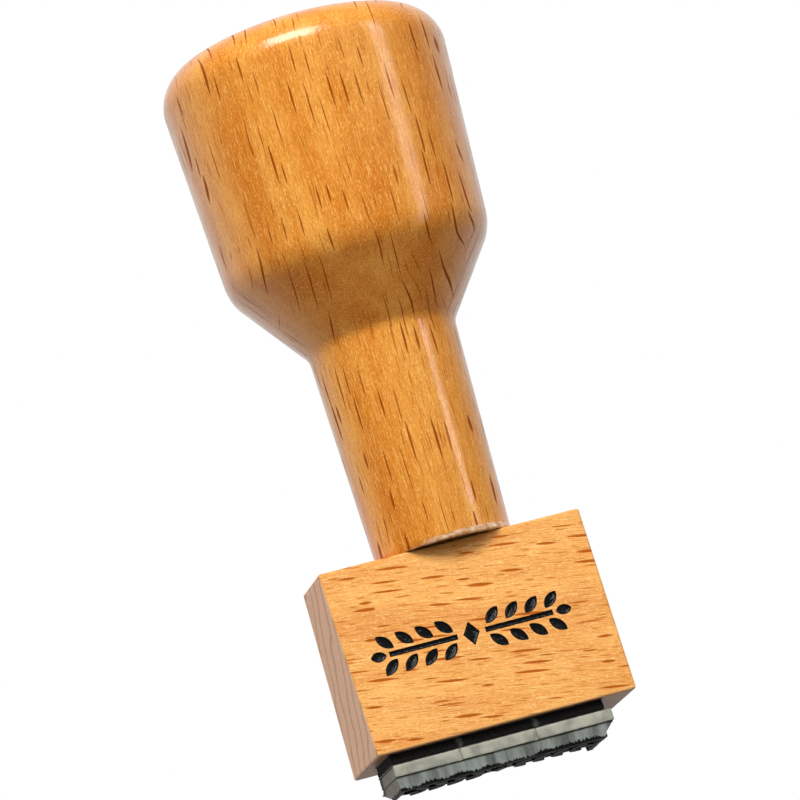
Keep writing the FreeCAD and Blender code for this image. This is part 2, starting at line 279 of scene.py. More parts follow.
def fillet(before, corner, after, radius, steps):
    """Points of the arc that rounds a corner of a profile."""
    before, corner, after = Vector(before), Vector(corner), Vector(after)
    back, ahead = (before - corner).normalized(), (after - corner).normalized()
    angle = back.angle(ahead)
    middle = corner + (back + ahead).normalized() * radius / math.sin(angle / 2)
    start = corner + back * radius / math.tan(angle / 2) - middle
    end = corner + ahead * radius / math.tan(angle / 2) - middle
    sweep = start.angle_signed(end)
    return [middle + Matrix.Rotation(-sweep * i / steps, 2) @ start for i in range(steps + 1)]


def wobble(x, y, z, size):
    """Signed noise at a place in millimetres, with lumps of this size."""
    return noise.noise(Vector((x, y, z)) / size)


# ---------------------------------------------------------------- handle

block_low, block_high = (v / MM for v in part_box("block"))
FOOT = block_high.z
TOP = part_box("handle")[1].z / MM
FOOT_RADIUS = 7.82
NECK = (8.55, FOOT + 25.0)
RIDGE = (15.34, FOOT + 34.2)
KNOB_RADIUS = 16.75
CROWN_RADIUS = 42.0
KNOB_ROUND = 4.6
SPINDLE_STEPS = 288
SCREW_HOLE = 2.03
MOST_WORN = math.radians(-52)


def knob_arcs():
    """The rounded shoulder between the knob's wall and its crown, then the crown."""
    centre = Vector((0, TOP - CROWN_RADIUS))
    rim = Vector((KNOB_RADIUS, centre.y + math.sqrt(CROWN_RADIUS ** 2 - KNOB_RADIUS ** 2)))
    wall = (rim - Vector(RIDGE)).normalized()
    inward = Vector((-wall.y, wall.x))
    base = Vector(RIDGE) + inward * KNOB_ROUND - centre
    reach = CROWN_RADIUS - KNOB_ROUND
    along = -base.dot(wall) + math.sqrt(base.dot(wall) ** 2 - base.length_squared + reach ** 2)
    middle = Vector(RIDGE) + wall * along + inward * KNOB_ROUND
    start = math.atan2(-inward.y, -inward.x)
    end = math.atan2(middle.y - centre.y, middle.x)
    shoulder = [start + (end - start) * i / 20 for i in range(21)]
    crown = [end + (math.pi / 2 - end) * i / 34 for i in range(1, 34)]
    points = [middle + Vector((math.cos(a), math.sin(a))) * KNOB_ROUND for a in shoulder]
    return rim, points + [centre + Vector((math.cos(a), math.sin(a))) * CROWN_RADIUS for a in crown]


def handle_profile():
    rim, knob = knob_arcs()
    foot = (FOOT_RADIUS, FOOT)
    corners = [Vector((FOOT_RADIUS - 0.12, FOOT)), Vector((FOOT_RADIUS, FOOT + 0.12))]
    points = corners + fillet(foot, NECK, RIDGE, 2.1, 12) + fillet(NECK, RIDGE, rim, 5.8, 16) + knob
    dense = [points[0]]
    for a, b in zip(points, points[1:]):
        step = 0.14 if b.y < FOOT + 3 else 0.8
        parts = max(1, math.ceil((b - a).length / step))
        dense += [a.lerp(b, i / parts) for i in range(1, parts + 1)]
    return dense


def foot_wear(angle):
    """How much the turned foot is chipped at this angle, 0 to 1: most at the front right."""
    side = 0.5 + 0.5 * math.cos(angle - MOST_WORN)
    rag = 0.5 + 0.5 * wobble(math.cos(angle) * 8, math.sin(angle) * 8, 3.0, 1.1)
    return max(0.0, min(1.0, side ** 3 * (0.35 + 0.75 * rag)))


def make_handle(material):
    profile = handle_profile()
    under = [Vector((r, FOOT)) for r in (SCREW_HOLE, 4.0, 5.6, 6.8, 7.4)]
    verts, wear, rings = [], [], []
    for point in under + profile:
        ring = []
        for i in range(SPINDLE_STEPS):
            angle = 2 * math.pi * i / SPINDLE_STEPS
            cos, sin = math.cos(angle), math.sin(angle)
            height = point.y - FOOT
            radius = point.x + 0.012 * wobble(cos * 20, sin * 20, point.y * 0.2, 9.0)
            lift = worn = 0.0
            if point.x > 7.3 and height < 2.0:
                amount = foot_wear(angle)
                edge = max(0.0, 1 - height / (0.25 + 0.60 * amount))
                rough = wobble(cos * 8, sin * 8, point.y, 0.35)
                worn = amount * min(1.0, edge * 2.2)
                radius += amount * (0.16 + 0.10 * rough) * math.sqrt(edge)
                lift = 0.10 * max(0.0, rough) * edge if height < 0.2 else 0.0
            ring.append(len(verts))
            verts.append((radius * cos, radius * sin, point.y + lift))
            wear.append(worn)
        rings.append(ring)
    faces = bridge(rings, close_first=True, close_last=False)
    apex = len(verts)
    verts.append((0, 0, TOP))
    wear.append(0.0)
    last = rings[-1]
    for i in range(SPINDLE_STEPS):
        faces.append((last[i], last[(i + 1) % SPINDLE_STEPS], apex))
    obj = add_piece("handle_turned", verts, faces, [material])
    layer = obj.data.attributes.new("worn", "FLOAT", "POINT")
    layer.data.foreach_set("value", wear)
    obj.data.set_sharp_from_angle(angle=math.radians(50))
    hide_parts("handle")
    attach(obj, "stamp")
    return obj


# The rays lie a little turned from the front, so the flecks stay thin to both sides.
RAY_TURN = math.radians(-13)
HANDLE_AXES = (
    (math.cos(RAY_TURN), math.sin(RAY_TURN), 0.0),
    (-math.sin(RAY_TURN), math.cos(RAY_TURN), 0.0),
    (0.03, 0.0, 1.0),
)


def handle_colour(sh, grain, colour):
    """Torn pale wood round the turned foot, and painted shade, near black, on the foot's underside.
    """
    down = sh.split(sh.place.outputs["Normal"])[2]
    # Painted shade: faces that look straight down, under the foot, turn near black.
    colour = sh.mix(sh.ease(down, -0.9, -0.98), colour, srgb(22, 12, 8))
    worn = sh.add("Attribute", {"attribute_name": "worn"}).outputs["Fac"]
    torn = sh.noise(grain, (0.7, 0.7, 0.3), detail=3.0)
    bare = sh.mix(sh.ease(torn, 0.3, 0.7), srgb(206, 150, 104), srgb(244, 216, 180))
    ragged = sh.math("ADD", worn, sh.math("MULTIPLY", torn, 0.3))
    return sh.mix(sh.ease(ragged, 0.24, 0.50), colour, bare)


lacquered = wood(
    "lacquered_beech_look",
    HANDLE_AXES,
    {
        "deep": srgb(200, 116, 16),
        "light": srgb(222, 152, 60),
        "warm": srgb(204, 116, 6),
        "pale": srgb(242, 188, 100),
        "fibre": srgb(170, 86, 8),
        "fleck": srgb(132, 56, 4),
    },
    {
        "large": ((1.5, 5.6), 0.125, 2.5, 0.80),
        "small": ((0.95, 3.2), 0.07, 1.3, 0.5),
    },
    {"rough": 0.42, "depth": 0.02, "weight": 1.0, "gloss": 0.10, "skin": 0.035, "specular": 0.15},
    handle_colour,
)
make_handle(lacquered)


# ---------------------------------------------------------------- ornament

# Proportions of the sprig: pitch of the leaves to its length, and the widths of its
# stem and leaves to its height.
LEAF_PAIRS = 4
PITCH_SHARE = 0.098
STEM_SHARE = 0.14
LEAF_SHARE = 0.26
LEAF_STEPS = 12


def leaf(foot, tip, width):
    """A pointed leaf of two equal arcs."""
    foot, tip = Vector(foot), Vector(tip)
    chord = tip - foot
    sagitta = width / 2
    radius = (chord.length_squared / 4 + sagitta ** 2) / (2 * sagitta)
    half = math.asin(chord.length / 2 / radius)
    side = Vector((-chord.y, chord.x)).normalized()
    points = []
    for hand in (-1, 1):
        for i in range(LEAF_STEPS):
            angle = half * (2 * i / LEAF_STEPS - 1) * -hand
            share = 0.5 + 0.5 * math.sin(angle) / math.sin(half)
            swell = radius * math.cos(angle) - (radius - sagitta)
            points.append(foot + chord * share + side * hand * swell)
    return points


def ornament(length, rise):
    """Outlines of the sprig, about its middle: lozenge, stems, leaves and buds."""
    reach, half = rise / 2, length / 2
    stem = rise * STEM_SHARE
    pitch = length * PITCH_SHARE
    run, high = reach * 0.42, reach * 0.62
    near, far = run + stem, half - pitch * 0.8 - stem / 2
    shapes = [[Vector(p) for p in ((-run, 0), (0, -high), (run, 0), (0, high))]]
    for hand in (-1, 1):
        box = ((near, -stem / 2), (far, -stem / 2), (far, stem / 2), (near, stem / 2))
        shapes.append([Vector((x * hand, y)) for x, y in box])
        bud = (far + stem / 2) * hand
        shapes.append(leaf((bud, 0), (half * hand, 0), rise * LEAF_SHARE))
        for pair in range(LEAF_PAIRS):
            foot = (near + pitch * pair + stem / 2) * hand
            tip = foot + pitch * 0.76 * hand
            for side in (-1, 1):
                shapes.append(leaf((foot, stem * side), (tip, reach * side), rise * LEAF_SHARE))
    return shapes


def anticlockwise(points):
    area = sum(a.x * b.y - b.x * a.y for a, b in zip(points, points[1:] + points[:1]))
    return points if area > 0 else points[::-1]


def inset(points, distance):
    """A convex outline moved inwards, with its corners kept."""
    points = anticlockwise(points)
    moved = []
    for before, here, after in zip(points[-1:] + points[:-1], points, points[1:] + points[:1]):
        first = (here - before).normalized()
        second = (after - here).normalized()
        inward = Vector((-first.y, first.x)) + Vector((-second.y, second.x))
        turn = max(0.35, inward.length / 2)
        moved.append(here + inward.normalized() * distance / turn)
    return moved


def refine(points, step):
    out = []
    for a, b in zip(points, points[1:] + points[:1]):
        parts = max(1, round((b - a).length / step))
        out += [a.lerp(b, i / parts) for i in range(parts)]
    return out


# ---------------------------------------------------------------- block

LOW_LENGTH, TOP_LENGTH = 30.1, 30.6
LOW_DEPTH, TOP_DEPTH = 16.2, 11.1
BLOCK_X = -0.5
MARK_X = -1.3
MARK_LENGTH, MARK_RISE = 23.4, 4.6
MARK_DROP = 10.8
GROOVE = 0.45
EDGE_ROUND = 0.3
block_rise = block_high.z - block_low.z
lean = math.atan2((LOW_DEPTH - TOP_DEPTH) / 2, block_rise)


def on_front(x, up, depth):
    """A place on the leaning front face, with up along the face from the mark's middle."""
    middle_y = -(TOP_DEPTH / 2 + (LOW_DEPTH - TOP_DEPTH) / 2 * MARK_DROP / block_rise)
    middle_z = block_high.z - MARK_DROP
    y = middle_y + up * math.sin(lean) + depth * math.cos(lean)
    z = middle_z + up * math.cos(lean) - depth * math.sin(lean)
    return (MARK_X + x, y, z)


def make_block(material):
    ends = ((block_low.z, LOW_LENGTH, LOW_DEPTH), (block_high.z, TOP_LENGTH, TOP_DEPTH))
    build = bmesh.new()
    for z, length, depth in ends:
        for sx, sy in ((-1, -1), (1, -1), (1, 1), (-1, 1)):
            build.verts.new(Vector((BLOCK_X + sx * length / 2, sy * depth / 2, z)) * MM)
    build.verts.ensure_lookup_table()
    quads = ((0, 3, 2, 1), (4, 5, 6, 7), (0, 1, 5, 4), (1, 2, 6, 5), (2, 3, 7, 6), (3, 0, 4, 7))
    for quad in quads:
        build.faces.new([build.verts[i] for i in quad])
    bmesh.ops.bevel(
        build,
        geom=build.edges[:],
        offset=EDGE_ROUND * MM,
        segments=4,
        profile=0.5,
        affect="EDGES",
    )
    mesh = bpy.data.meshes.new("block_solid")
    build.to_mesh(mesh)
    build.free()
    solid = bpy.data.objects.new("block_solid", mesh)
    bpy.context.scene.collection.objects.link(solid)

    verts, faces = [], []
    for shape in ornament(MARK_LENGTH, MARK_RISE):
        shape = anticlockwise(shape)
        first = len(verts)
        levels = ((-0.4, 0.0), (GROOVE * 0.55, 0.0), (GROOVE * 0.85, 0.06), (GROOVE, 0.16))
        for depth, move in levels:
            verts += [on_front(p.x, p.y, depth) for p in inset(shape, move)]
        faces += bridge([range(len(shape))] * len(levels), first=first)
    cutter = add_piece("cutter", verts, faces, [])
    cut = solid.modifiers.new("grooves", "BOOLEAN")
    cut.operation, cut.solver, cut.object = "DIFFERENCE", "EXACT", cutter
    bpy.context.view_layer.update()
    carved = bpy.data.meshes.new_from_object(
        solid.evaluated_get(bpy.context.evaluated_depsgraph_get())
    )
    carved.name = "block_carved"
    for spare in (solid, cutter):
        bpy.data.objects.remove(spare)
    obj = add_object("block_carved", carved, [material], smooth=False)
    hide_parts("block")
    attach(obj, "stamp")
    return obj


BLOCK_TILT = math.radians(8)
BLOCK_AXES = (
    (math.sin(BLOCK_TILT), 0.0, math.cos(BLOCK_TILT)),
    (0.0, 1.0, 0.0),
    (math.cos(BLOCK_TILT), 0.0, -math.sin(BLOCK_TILT)),
)


def block_colour(sh, grain, colour):
    """End grain on the short sides, a raw underside darkened with painted shade, and a painted
    highlight along the lower front edge.
    """
    nx, ny, nz = sh.split(sh.place.outputs["Normal"])
    z = sh.split(sh.place.outputs["Object"])[2]
    across, rays, _ = sh.split(grain)
    dots = sh.noise(grain, (0.16, 0.16, 0.16), detail=2.0, roughness=0.7)
    lines = sh.noise(grain, (0.22, 2.6, 0.5), detail=2.0)
    ring_warp = sh.noise(grain, (6.0, 6.0, 6.0), detail=1.0)
    slant = sh.math("ADD", sh.math("MULTIPLY", rays, 0.28), sh.math("MULTIPLY", across, 0.16))
    phase = sh.math("ADD", slant, sh.math("MULTIPLY", ring_warp, 1.4))
    ring = sh.math("FRACT", phase)
    late = sh.math("MULTIPLY", sh.ease(ring, 0.66, 0.93), sh.ease(ring, 1.0, 0.94))
    end = sh.mix(dots, srgb(208, 148, 106), srgb(246, 198, 158))
    end = sh.mix(sh.ease(lines, 0.5, 0.75, 0.0, 0.5), end, srgb(236, 202, 172))
    end = sh.mix(sh.math("MULTIPLY", late, 0.62), end, srgb(154, 98, 60))
    is_end = sh.ease(sh.math("ABSOLUTE", nx), 0.55, 0.85)
    colour = sh.mix(is_end, colour, end)
    # Painted shade: faces that look down take a darker, browner colour than the lit faces.
    under = sh.mix(dots, srgb(150, 108, 72), srgb(190, 140, 96))
    colour = sh.mix(sh.ease(nz, -0.55, -0.85), colour, under)
    # Painted highlight: a pale band along the rounded lower edge of the front face, where light
    # catches it.
    edge_highlight = sh.ease(z, (block_low.z + 0.42) * MM, (block_low.z + 0.12) * MM, 0.0, 0.55)
    front = sh.ease(ny, -0.2, -0.5)
    return sh.mix(sh.math("MULTIPLY", edge_highlight, front), colour, srgb(250, 196, 128))


oiled = wood(
    "oiled_beech_look",
    BLOCK_AXES,
    {
        "deep": srgb(215, 142, 60),
        "light": srgb(232, 168, 84),
        "warm": srgb(219, 144, 52),
        "pale": srgb(248, 206, 136),
        "fibre": srgb(194, 110, 32),
        "fleck": srgb(164, 74, 2),
    },
    {
        "large": ((1.35, 4.4), 0.17, 1.8, 0.72),
        "small": ((0.8, 2.4), 0.09, 0.9, 0.7),
    },
    {"rough": 0.5, "depth": 0.05, "weight": 0.12, "gloss": 0.35, "skin": 0.03, "specular": 0.35},
    block_colour,
    scale=0.8,
)
make_block(oiled)


# ---------------------------------------------------------------- painted mark

def mark_material():
    sh = Shader("mark_paint_look")
    place = sh.place.outputs["Object"]
    lumps = sh.noise(place, (0.45 * MM,) * 3, detail=3.0, roughness=0.65)
    fine = sh.noise(place, (0.12 * MM,) * 3, detail=2.0)
    colour = sh.mix(sh.ease(lumps, 0.45, 0.8), srgb(7, 7, 8), srgb(16, 17, 21))
    inputs = {
        "Base Color": colour,
        "Roughness": sh.ease(fine, 0.3, 0.7, 0.10, 0.28),
        "Normal": sh.bump(sh.math("ADD", lumps, sh.math("MULTIPLY", fine, 0.3)), 0.07 * MM),
        "Specular IOR Level": 0.3,
    }
    return sh.finish(inputs)


# Depth under the block's face and distance in from the groove's wall, from the bottom
# of the groove up its wall and over the paint to the middle.
PAINT_LEVELS = (
    (0.40, 0.15),
    (0.30, 0.02),
    (0.05, 0.01),
    (0.10, 0.07),
    (0.17, 0.14),
    (0.21, 0.22),
    (0.22, 0.28),
)


def make_mark(material):
    """Paint in the grooves, drawn up at the walls and hollow in the middle."""
    verts, faces = [], []
    for shape in ornament(MARK_LENGTH, MARK_RISE):
        shape = refine(anticlockwise(shape), 0.22)
        first = len(verts)
        for depth, move in PAINT_LEVELS:
            for p in inset(shape, move):
                skin = depth
                if depth <= 0.25:
                    skin += 0.035 * wobble(p.x, p.y, depth, 0.5)
                verts.append(on_front(p.x, p.y, max(0.03, skin)))
        faces += bridge([range(len(shape))] * len(PAINT_LEVELS), first=first)
    obj = add_piece("mark_paint_fill", verts, faces, [material])
    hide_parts("mark_infill")
    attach(obj, "stamp")
    return obj


make_mark(mark_material())


# ---------------------------------------------------------------- foam cushion

def unit_loop(across, deep):
    """Places round a unit square, with more of them along the long sides."""
    loop = [(i / across, 0.0) for i in range(across)]
    loop += [(1.0, i / deep) for i in range(deep)]
    loop += [(1 - i / across, 1.0) for i in range(across)]
    return loop + [(0.0, 1 - i / deep) for i in range(deep)]


def outward(u, v):
    """The way out of the unit square from a place on its edge."""
    return Vector([1.0 if c == 1 else -1.0 if c == 0 else 0.0 for c in (u, v)])


# Where the front was cut in several snips, how wide each step is, and how many rings the foam's
# mesh has.
SCISSOR_STEPS = (-6.4, 2.4)
STEP_WIDTH = 0.22
FOAM_LEVELS = 13


def step_depth(x, z):
    """How deep a scissor step cuts in at this place on the front."""
    deep = 0.0
    for place in SCISSOR_STEPS:
        away = abs(x - place - 0.22 * (z - 3.0) - 0.1 * wobble(x, place, z, 0.4))
        deep = max(deep, 1 - away / STEP_WIDTH)
    return max(0.0, deep)


def make_cushion(material):
    low, high = (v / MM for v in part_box("cushion"))
    loop = unit_loop(170, 72)
    verts, rings = [], []
    for level in range(FOAM_LEVELS):
        share = level / (FOAM_LEVELS - 1)
        z = low.z + (high.z - low.z) * share
        rounded = 0.10 * (abs(share - 0.5) * 2) ** 6
        ring = []
        for u, v in loop:
            x, y = low.x + (high.x - low.x) * u, low.y + (high.y - low.y) * v
            pit = abs(wobble(x, y, z, 0.28)) * 0.14 + abs(wobble(x, y, z + 9, 0.7)) * 0.12
            slow = 0.12 * (0.5 + 0.5 * wobble(x, y, 0.0, 4.0))
            cut = 0.10 * step_depth(x, z) if v == 0 else 0.0
            out = outward(u, v).normalized() * -(rounded + pit + slow + cut)
            ring.append(len(verts))
            verts.append((x + out.x, y + out.y, z))
        rings.append(ring)
    obj = add_piece("foam_cushion", verts, bridge(rings), [material])
    obj.data.set_sharp_from_angle(angle=math.radians(60))
    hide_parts("cushion")
    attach(obj, "stamp")
    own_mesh(obj)
    return obj


def foam_material():
    sh = Shader("foam_look")
    place = sh.place.outputs["Object"]
    pores = sh.stretch(place, (0.13 * MM,) * 3)
    cells = sh.add("TexVoronoi", {"feature": "F1"}, {"Vector": pores, "Scale": 1.0})
    smear = sh.noise(place, (0.5 * MM, 0.5 * MM, 0.25 * MM), detail=4.0, roughness=0.7)
    dust = sh.noise(place, (0.10 * MM,) * 3, detail=1.0)
    x = sh.split(place)[0]
    colour = sh.mix(sh.ease(smear, 0.62, 0.80, 0.0, 0.55), srgb(17, 16, 15), srgb(78, 80, 78))
    colour = sh.mix(sh.ease(dust, 0.74, 0.84, 0.0, 0.55), colour, srgb(120, 122, 118))
    for place_x in SCISSOR_STEPS:
        near = sh.math("ABSOLUTE", sh.math("SUBTRACT", x, (place_x + 0.25) * MM))
        rag = sh.math("MULTIPLY", sh.math("SUBTRACT", smear, 0.5), 1.4 * MM)
        ragged = sh.math("ADD", near, rag)
        colour = sh.mix(sh.ease(ragged, 0.42 * MM, 0.0, 0.0, 0.55), colour, srgb(96, 100, 98))
    inputs = {
        "Base Color": colour,
        "Roughness": sh.ease(smear, 0.3, 0.7, 0.75, 0.95),
        "Normal": sh.bump(cells.outputs["Distance"], 0.06 * MM),
        "Specular IOR Level": 0.25,
    }
    return sh.finish(inputs)


make_cushion(foam_material())


# ---------------------------------------------------------------- rubber die

die_low, die_high = (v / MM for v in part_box("rubber_die"))
# Heights of the plate's lower edge and of the floor between the raised lines, and the
# place of the relief.
LEDGE = 1.65
RELIEF = 0.6
RELIEF_X = (-13.95, 10.05)
RELIEF_Y = (-7.2, 1.3)
RULE = 0.6
SPREAD = 0.15
RUN_OUT = 1.1

# How far the worn back left corner reaches, and the height and inset of the raised
# sprig's rings.
WORN_REACH = 3.6
SPRIG_LEVELS = ((RELIEF + 0.05, -0.10), (0.35, -0.03), (0.05, 0.0), (0.0, 0.04))


def die_levels():
    """Rings of the die from its top down the outside and up to the floor behind the rule:
    height, bounds, distance in from them, and the kind of surface."""
    plate = (die_low.x, die_high.x, die_low.y, die_high.y)
    wide = (
        RELIEF_X[0] - SPREAD,
        RELIEF_X[1] + RUN_OUT,
        RELIEF_Y[0] - SPREAD / 2,
        RELIEF_Y[1] + SPREAD,
    )
    narrow = RELIEF_X + RELIEF_Y
    levels = [(die_high.z, plate, 0.07, "plate"), (die_high.z - 0.06, plate, 0.02, "plate")]
    levels += [(die_high.z - 0.06 - 0.14 * i, plate, 0.0, "plate") for i in range(1, 9)]
    levels += [(LEDGE + 0.06, plate, 0.02, "plate"), (LEDGE + 0.01, plate, 0.08, "ledge")]
    levels += [(LEDGE - 0.03, wide, 0.12, "ledge"), (LEDGE - 0.08, wide, 0.02, "flank")]
    for share in (0.2, 0.35, 0.5, 0.65, 0.8, 0.9, 1.0):
        bounds = tuple(a + (b - a) * share for a, b in zip(wide, narrow))
        levels.append((LEDGE - (LEDGE - RELIEF) * share, bounds, 0.0, "flank"))
    levels += [(z, narrow, 0.0, "flank") for z in (0.5, 0.4, 0.3, 0.22, 0.14, 0.07)]
    levels += [(0.0, narrow, move, "foot") for move in (0.03, 0.14, 0.26, 0.4, 0.54)]
    levels += [(z, narrow, RULE, "inner") for z in (0.06, 0.25, 0.45)]
    return levels + [(RELIEF, narrow, RULE, "floor")]


def die_wear(kind, x, y, z, move, u, v):
    """How far the rubber at this place is lifted and pushed out by cuts, streaks and wear."""
    corner = max(0.0, 1 - math.hypot(x - RELIEF_X[0], y - RELIEF_Y[1]) / WORN_REACH)
    corner *= corner * (3 - 2 * corner)
    leaning = 0.5 * corner if u == 0 else 0.0
    tooth = 0.5 + 0.5 * wobble(x, y, 5.0, 0.45)
    if kind == "plate":
        push = -0.06 * abs(wobble(x, y, z * 0.3, 2.2)) - 0.03 * abs(wobble(x, y, z, 0.3))
        if v == 0:
            push -= 0.16 * step_depth(x, z)
        return 0.0, push
    if kind == "flank":
        low = 1 - z / LEDGE
        streak = wobble(x, y, 0.0, 1.9) + 0.18 * wobble(x, y, 0.0, 0.45)
        push = -0.10 * abs(streak) * (0.3 + low) + 0.02 * wobble(x, y, z, 0.2)
        lift = 0.14 * tooth ** 2 * max(0.0, 1 - z / 0.35) + corner * max(0.0, 1 - z / 1.4)
        return lift, push + leaning * low
    if kind == "foot":
        slow = max(0.0, wobble(x, y, 8.0, 2.4))
        edge = max(0.0, 1 - (move - 0.03) / 0.3)
        return (0.16 * tooth ** 2 + 0.10 * slow) * edge + corner, leaning
    return 0.0, 0.0


def make_die(material):
    loop = unit_loop(210, 84)
    verts, rings = [], []
    for z, (left, right, front, back), move, kind in die_levels():
        ring = []
        for u, v in loop:
            x = left + move + (right - left - 2 * move) * u
            y = front + move + (back - front - 2 * move) * v
            lift, push = die_wear(kind, x, y, z, move, u, v)
            open_back = v == 1 and RELIEF_X[0] + RULE < x < RELIEF_X[1] - RULE
            if open_back and z + lift < RELIEF:
                lift, push = RELIEF - z, 0.0
            out = outward(u, v).normalized()
            ring.append(len(verts))
            verts.append((x + out.x * push, y + out.y * push, z + lift))
        rings.append(ring)
    faces = bridge(rings)
    length = RELIEF_X[1] - RELIEF_X[0] - RULE * 3
    rise = length * MARK_RISE / MARK_LENGTH
    centre = Vector((sum(RELIEF_X) / 2, RELIEF_Y[0] + RULE * 2 + rise / 2))
    for shape in ornament(length, rise):
        shape = refine(anticlockwise(shape), 0.2)
        first = len(verts)
        for z, move in SPRIG_LEVELS:
            for p in inset(shape, move):
                rag = 0.02 * wobble(p.x, p.y, z, 0.3) if z else 0.0
                verts.append((centre.x + p.x + rag, centre.y + p.y + rag, z))
        faces += bridge([range(len(shape))] * len(SPRIG_LEVELS), first=first)
    obj = add_piece("die_rubber", verts, faces, [material])
    weld(obj.data)
    obj.data.set_sharp_from_angle(angle=math.radians(38))
    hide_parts("rubber_die")
    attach(obj, "die")
    return obj


def die_material():
    """Cut rubber: a pale edge, a scorched and streaky flank, and ink on the raised face."""
    sh = Shader("engraved_rubber_look")
    place = sh.place.outputs["Object"]
    nx = sh.split(sh.place.outputs["Normal"])[0]
    x, y, z = sh.split(place)
    streaks = sh.noise(place, (1.1 * MM, 1.1 * MM, 9 * MM), detail=5.0, roughness=0.55)
    fine = sh.noise(place, (0.12 * MM,) * 3, detail=3.0, roughness=0.7)
    clouds = sh.noise(place, (1.6 * MM,) * 3, detail=3.0)
    edge = sh.mix(sh.ease(clouds, 0.3, 0.7), srgb(136, 138, 126), srgb(170, 170, 156))
    edge = sh.mix(sh.ease(fine, 0.60, 0.78, 0.0, 0.6), edge, srgb(214, 212, 198))
    edge = sh.mix(sh.ease(fine, 0.36, 0.24, 0.0, 0.7), edge, srgb(92, 92, 80))
    flank = sh.mix(sh.ease(streaks, 0.30, 0.70), srgb(78, 84, 80), srgb(136, 143, 137))
    flank = sh.mix(sh.ease(fine, 0.60, 0.76, 0.0, 0.6), flank, srgb(188, 194, 186))
    colour = sh.mix(sh.ease(z, (LEDGE + 0.05) * MM, LEDGE * MM), edge, flank)
    wander = sh.math("MULTIPLY", sh.math("SUBTRACT", clouds, 0.5), 0.10 * MM)
    off_line = sh.math("SUBTRACT", sh.math("ADD", z, wander), (LEDGE - 0.02) * MM)
    off_line = sh.math("ABSOLUTE", off_line)
    broken = sh.ease(clouds, 0.38, 0.56, 0.15, 0.9)
    line = sh.math("MULTIPLY", sh.ease(off_line, 0.06 * MM, 0.02 * MM), broken)
    colour = sh.mix(line, colour, srgb(44, 44, 38))
    end = sh.mix(clouds, srgb(120, 116, 108), srgb(168, 160, 150))
    smudged = sh.math("ADD", y, sh.math("MULTIPLY", clouds, 1.6 * MM))
    end = sh.mix(sh.ease(smudged, 0.2 * MM, 1.8 * MM, 0.0, 0.85), end, srgb(24, 23, 22))
    colour = sh.mix(sh.ease(nx, -0.6, -0.9), colour, end)
    for place_x in SCISSOR_STEPS:
        near = sh.math("ABSOLUTE", sh.math("SUBTRACT", x, place_x * MM))
        rag = sh.math("MULTIPLY", sh.math("SUBTRACT", fine, 0.5), 0.5 * MM)
        mark = sh.ease(sh.math("ADD", near, rag), 0.16 * MM, 0.02 * MM)
        mark = sh.math("MULTIPLY", mark, sh.ease(z, LEDGE * MM, (LEDGE + 0.1) * MM))
        colour = sh.mix(sh.math("MULTIPLY", mark, 0.55), colour, srgb(70, 66, 56))
    teeth = sh.noise(place, (0.30 * MM, 0.30 * MM, 3 * MM), detail=3.0, roughness=0.7)
    slow = sh.noise(place, (2.6 * MM, 2.6 * MM, 9 * MM), detail=1.0)
    short_reach = sh.ease(teeth, 0.35, 0.75, 0.05 * MM, 0.42 * MM)
    long_reach = sh.ease(slow, 0.35, 0.7, 0.0, 0.28 * MM)
    above = sh.math("SUBTRACT", z, sh.math("ADD", short_reach, long_reach))
    ink = sh.ease(above, 0.08 * MM, 0.0)
    colour = sh.mix(ink, colour, srgb(9, 8, 8))
    speck = sh.ease(fine, 0.72, 0.84, 0.0, 0.25)
    colour = sh.mix(sh.math("MULTIPLY", speck, ink), colour, srgb(110, 112, 108))
    inputs = {
        "Base Color": colour,
        "Roughness": sh.ease(ink, 0.0, 1.0, 0.72, 0.55),
        "Normal": sh.bump(sh.math("ADD", fine, sh.math("MULTIPLY", streaks, 0.8)), 0.06 * MM),
        "Specular IOR Level": sh.ease(ink, 0.0, 1.0, 0.35, 0.12),
    }
    return sh.finish(inputs)


make_die(die_material())


# ---------------------------------------------------------------- adhesive and screw

def adhesive_material():
    sh = Shader("adhesive_look")
    place = sh.place.outputs["Object"]
    lumps = sh.noise(place, (0.8 * MM,) * 3, detail=3.0)
    dust = sh.noise(place, (0.12 * MM,) * 3, detail=1.0)
    # Painted shade: the film's dark brown-grey, over an amber tone, stands for the shade in the
    # thin gap between wood and foam.
    colour = sh.mix(sh.ease(lumps, 0.3, 0.7), srgb(38, 35, 30), srgb(88, 82, 68))
    colour = sh.mix(sh.ease(dust, 0.68, 0.8, 0.0, 0.5), colour, srgb(128, 122, 106))
    inputs = {
        "Base Color": colour,
        "Roughness": sh.ease(dust, 0.3, 0.7, 0.4, 0.7),
        "Normal": sh.bump(lumps, 0.02 * MM),
    }
    return sh.finish(inputs)


def steel_material():
    sh = Shader("screw_steel_look")
    place = sh.place.outputs["Object"]
    spangle = sh.noise(place, (0.7 * MM,) * 3, detail=3.0)
    lines = sh.noise(place, (2 * MM, 2 * MM, 0.05 * MM), detail=2.0)
    colour = sh.mix(sh.ease(spangle, 0.3, 0.7), srgb(168, 170, 172), srgb(214, 214, 210))
    inputs = {
        "Base Color": colour,
        "Metallic": 1.0,
        "Roughness": sh.ease(lines, 0.3, 0.7, 0.22, 0.42),
        "Normal": sh.bump(lines, 0.01 * MM),
    }
    return sh.finish(inputs)


def dress_node(node, material):
    """Give a CAD node that keeps its shape a better material."""
    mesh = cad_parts[node].data
    if mesh.materials:
        for index in range(len(mesh.materials)):
            mesh.materials[index] = material
    else:
        mesh.materials.append(material)


film = adhesive_material()
dress_node("block_adhesive", film)
dress_node("cushion_adhesive", film)
dress_node("handle_screw", steel_material())


# ---------------------------------------------------------------- floor, light and camera

# Half the floor's side, and its height just under the printing face, mm.
FLOOR_HALF = 2000
FLOOR_Z = -0.2


